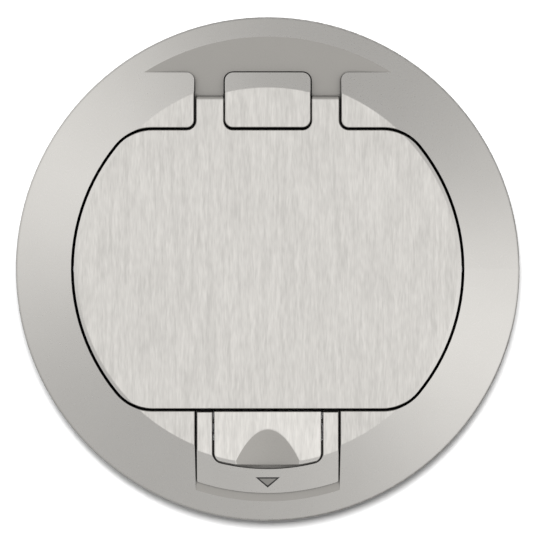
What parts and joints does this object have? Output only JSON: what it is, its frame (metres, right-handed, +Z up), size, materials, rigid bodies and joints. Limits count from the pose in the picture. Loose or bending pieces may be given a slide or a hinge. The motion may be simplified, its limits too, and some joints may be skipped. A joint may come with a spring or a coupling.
{
  "type": "round cable grommet with hinged lid",
  "caption": "Round bevelled desk grommet with a hinged access lid, a spring latch slide with a cable flap, a sleeve and swing-out clamps.",
  "frame": {"origin": "centre of the flange's underside, on the desk surface", "axes": "+Z up out of the desk, +Y towards the lid hinge, +X to the right with the hinge at the back"},
  "size_m": [0.184, 0.184, 0.0565],
  "materials": {
    "flange_metal": "vertical brushed flat, satin bevel",
    "lid_metal": "vertical brushed",
    "block_metal": "vertical brushed",
    "latch_metal": "vertical brushed",
    "flap_metal": "vertical brushed, satin thumb scoop",
    "foam": "closed-cell foam",
    "sleeve_plastic": "moulded, fine texture",
    "screw_steel": "zinc plated",
    "bumper_rubber": "moulded",
    "rod_steel": "ground",
    "spring_steel": "drawn wire",
    "keeper_steel": "stamped",
    "nut_brass": "turned",
    "dog_zinc": "die-cast, tumbled"
  },
  "bodies": {
    "frame": {"trim_flange": "flange_metal", "desk_gasket": "foam", "sleeve": "sleeve_plastic", "sleeve_screws": "screw_steel", "lid_bumpers": "bumper_rubber", "hinge_block": "block_metal", "hinge_block_screws": "screw_steel", "hinge_rod": "rod_steel", "latch_spring_right": "spring_steel", "latch_spring_left": "spring_steel"},
    "lid": {"lid_plate": "lid_metal"},
    "latch": {"slide_latch": "latch_metal", "keeper_right": "keeper_steel", "keeper_left": "keeper_steel", "keeper_screws": "screw_steel", "flap_pin": "rod_steel"},
    "flap": {"cable_flap": "flap_metal"},
    "clamp_screw_right": {"clamp_screw_right": "screw_steel"},
    "clamp_nut_right": {"clamp_nut_right": "nut_brass", "clamp_ring_right": "spring_steel"},
    "clamp_dog_right": {"clamp_dog_right": "dog_zinc"},
    "clamp_screw_left": {"clamp_screw_left": "screw_steel"},
    "clamp_nut_left": {"clamp_nut_left": "nut_brass", "clamp_ring_left": "spring_steel"},
    "clamp_dog_left": {"clamp_dog_left": "dog_zinc"}
  },
  "joints": [
    {"name": "lid_hinge", "type": "hinge", "parent": "frame", "child": "lid", "pos_m": [0, 0.0614, 0.0049], "axis": [-1, 0, 0], "range_deg": [0, 180]},
    {"name": "latch_slide", "type": "slide", "parent": "frame", "child": "latch", "axis": [0, -1, 0], "range_m": [0, 0.003], "stiffness_N_per_m": 400, "springref_m": -0.002, "deforming": ["latch_spring_right", "latch_spring_left"]},
    {"name": "flap_hinge", "type": "hinge", "parent": "latch", "child": "flap", "pos_m": [0, -0.0554, 0.0045], "axis": [-1, 0, 0], "range_deg": [0, 95]},
    {"name": "clamp_turn_right", "type": "hinge", "parent": "frame", "child": "clamp_screw_right", "pos_m": [0.067, 0, 0], "axis": [0, 0, -1], "range_deg": [0, 12600]},
    {"name": "clamp_lift_right", "type": "slide", "parent": "frame", "child": "clamp_nut_right", "axis": [0, 0, 1], "range_m": [0, 0.0245]},
    {"name": "clamp_swing_right", "type": "hinge", "parent": "clamp_nut_right", "child": "clamp_dog_right", "pos_m": [0.067, 0, -0.0425], "axis": [0, 0, -1], "range_deg": [0, 90]},
    {"name": "clamp_turn_left", "type": "hinge", "parent": "frame", "child": "clamp_screw_left", "pos_m": [-0.067, 0, 0], "axis": [0, 0, -1], "range_deg": [0, 12600]},
    {"name": "clamp_lift_left", "type": "slide", "parent": "frame", "child": "clamp_nut_left", "axis": [0, 0, 1], "range_m": [0, 0.0245]},
    {"name": "clamp_swing_left", "type": "hinge", "parent": "clamp_nut_left", "child": "clamp_dog_left", "pos_m": [-0.067, 0, -0.0425], "axis": [0, 0, -1], "range_deg": [0, 90]}
  ],
  "couplings": [
    {"joint": "clamp_turn_right", "follows": "clamp_lift_right", "rad_per_m": 8976},
    {"joint": "clamp_turn_left", "follows": "clamp_lift_left", "rad_per_m": 8976}
  ]
}
